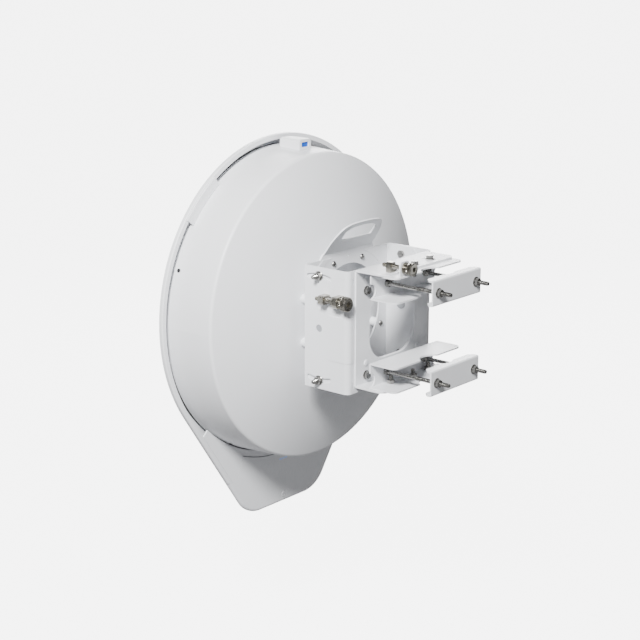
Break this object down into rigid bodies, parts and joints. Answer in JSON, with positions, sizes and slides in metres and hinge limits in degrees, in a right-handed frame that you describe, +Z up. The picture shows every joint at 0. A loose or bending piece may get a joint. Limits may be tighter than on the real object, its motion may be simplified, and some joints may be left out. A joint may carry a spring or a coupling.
{
  "type": "outdoor wireless bridge",
  "caption": "Pole-mounted outdoor wireless bridge: covered dish aerial with a teardrop radome on a bracket with azimuth and elevation adjusting screws and two mast clamps.",
  "frame": {"origin": "on the mast axis, midway between the upper and lower mast clamps", "axes": "+Z up along the mast, -Y along the dish's line of sight, +X on the side of the two adjusting screws"},
  "size_m": [0.6488, 0.4804, 0.7501],
  "materials": {
    "bracket_paint": "white powder coat, fine texture",
    "stainless": "stainless fasteners, satin",
    "plated_steel": "zinc-nickel plated steel, satin",
    "painted_rivet": "white powder coat over a rivet",
    "black_steel": "blackened steel screw",
    "shell_plastic": "fine satin moulded plastic",
    "radome_plastic": "fine satin moulded plastic",
    "tail_plastic": "fine satin moulded plastic",
    "seal_rubber": "soft black rubber",
    "spun_aluminium": "spun and machined aluminium",
    "lens_glass": "blue coated glass",
    "light_plastic": "pale blue light guide",
    "board_laminate": "green solder mask",
    "tinned_steel": "tinned steel",
    "ground_copper": "tinned copper"
  },
  "bodies": {
    "mast_bracket": {"inner_bracket_upper": "bracket_paint", "inner_bracket_lower": "bracket_paint", "clamp_bolts": "stainless", "clamp_bolt_lock_nuts": "stainless", "azimuth_pivot_bolts": "stainless", "azimuth_pivot_nuts": "stainless", "azimuth_lock_bolts": "stainless", "azimuth_lock_nuts": "stainless"},
    "upper_clamp": {"outer_clamp_upper": "bracket_paint", "clamp_nuts_upper": "stainless"},
    "lower_clamp": {"outer_clamp_lower": "bracket_paint", "clamp_nuts_lower": "stainless"},
    "azimuth_bracket": {"azimuth_yoke": "bracket_paint", "elevation_cradle": "bracket_paint", "yoke_bolts": "stainless", "yoke_nuts": "stainless", "yoke_rivets": "painted_rivet", "elevation_screw_stand": "plated_steel"},
    "azimuth_screw": {"azimuth_screw": "plated_steel", "azimuth_screw_collar": "plated_steel"},
    "azimuth_nut": {"azimuth_screw_nut": "plated_steel"},
    "elevation_screw": {"elevation_screw": "plated_steel", "elevation_screw_collar": "plated_steel"},
    "elevation_nut": {"elevation_screw_nut": "plated_steel"},
    "port_cover": {"port_cover": "tail_plastic", "status_lenses": "light_plastic"},
    "cover_latch": {"cover_latch": "tail_plastic"},
    "dish": {"board_shield": "tinned_steel", "board_standoffs": "tinned_steel", "cable_grommet": "seal_rubber", "dish_shell": "shell_plastic", "ethernet_port": "tinned_steel", "feed_tube": "spun_aluminium", "fibre_port": "tinned_steel", "ground_lug": "ground_copper", "ground_screw": "stainless", "hub_screws": "stainless", "hub_spacers": "shell_plastic", "main_board": "board_laminate", "radio_module": "spun_aluminium", "radome": "radome_plastic", "radome_clip_left": "radome_plastic", "radome_clip_right": "radome_plastic", "radome_gasket": "seal_rubber", "reflector": "spun_aluminium", "rim_screws": "black_steel", "sight_housing": "tail_plastic", "sight_lens_front": "lens_glass", "sight_lens_rear": "lens_glass", "subreflector": "spun_aluminium", "tail_panel": "tail_plastic", "tilt_lock_bolts": "stainless", "tilt_lock_nuts": "stainless", "tilt_lock_washers": "stainless", "tilt_pivot_pins": "painted_rivet", "tilt_plate": "bracket_paint"}
  },
  "joints": [
    {"name": "upper_clamp_slide", "type": "slide", "parent": "mast_bracket", "child": "upper_clamp", "axis": [0, 1, 0], "range_m": [-0.02, 0.018]},
    {"name": "lower_clamp_slide", "type": "slide", "parent": "mast_bracket", "child": "lower_clamp", "axis": [0, 1, 0], "range_m": [-0.02, 0.018]},
    {"name": "azimuth_turn", "type": "hinge", "parent": "mast_bracket", "child": "azimuth_bracket", "pos_m": [0, -0.052, 0], "axis": [0, 0, 1], "range_deg": [-10, 10]},
    {"name": "azimuth_screw_spin", "type": "hinge", "parent": "mast_bracket", "child": "azimuth_screw", "pos_m": [0.075, -0.0185, 0.121], "axis": [0, 1, 0], "range_deg": [-3900, 3900]},
    {"name": "azimuth_nut_travel", "type": "slide", "parent": "mast_bracket", "child": "azimuth_nut", "axis": [0, 1, 0], "range_m": [-0.0135, 0.0135]},
    {"name": "elevation_tilt", "type": "hinge", "parent": "azimuth_bracket", "child": "dish", "pos_m": [0, -0.1734, -0.006], "axis": [1, 0, 0], "range_deg": [-14, 14]},
    {"name": "elevation_screw_spin", "type": "hinge", "parent": "azimuth_bracket", "child": "elevation_screw", "pos_m": [0.137, -0.1195, 0.0535], "axis": [0, 1, 0], "range_deg": [-4350, 4350]},
    {"name": "elevation_nut_travel", "type": "slide", "parent": "azimuth_bracket", "child": "elevation_nut", "axis": [0, 1, 0], "range_m": [-0.0152, 0.0152]},
    {"name": "port_cover_slide", "type": "slide", "parent": "dish", "child": "port_cover", "axis": [0, 0, -1], "range_m": [0, 0.09]},
    {"name": "cover_latch_turn", "type": "hinge", "parent": "port_cover", "child": "cover_latch", "pos_m": [0, -0.3759, -0.416], "axis": [0, 1, 0], "range_deg": [0, 90]}
  ],
  "couplings": [
    {"joint": "azimuth_nut_travel", "follows": "azimuth_turn", "m_per_rad": 0.0752},
    {"joint": "azimuth_screw_spin", "follows": "azimuth_turn", "ratio": -378},
    {"joint": "elevation_nut_travel", "follows": "elevation_tilt", "m_per_rad": -0.0607},
    {"joint": "elevation_screw_spin", "follows": "elevation_tilt", "ratio": 305.11}
  ]
}
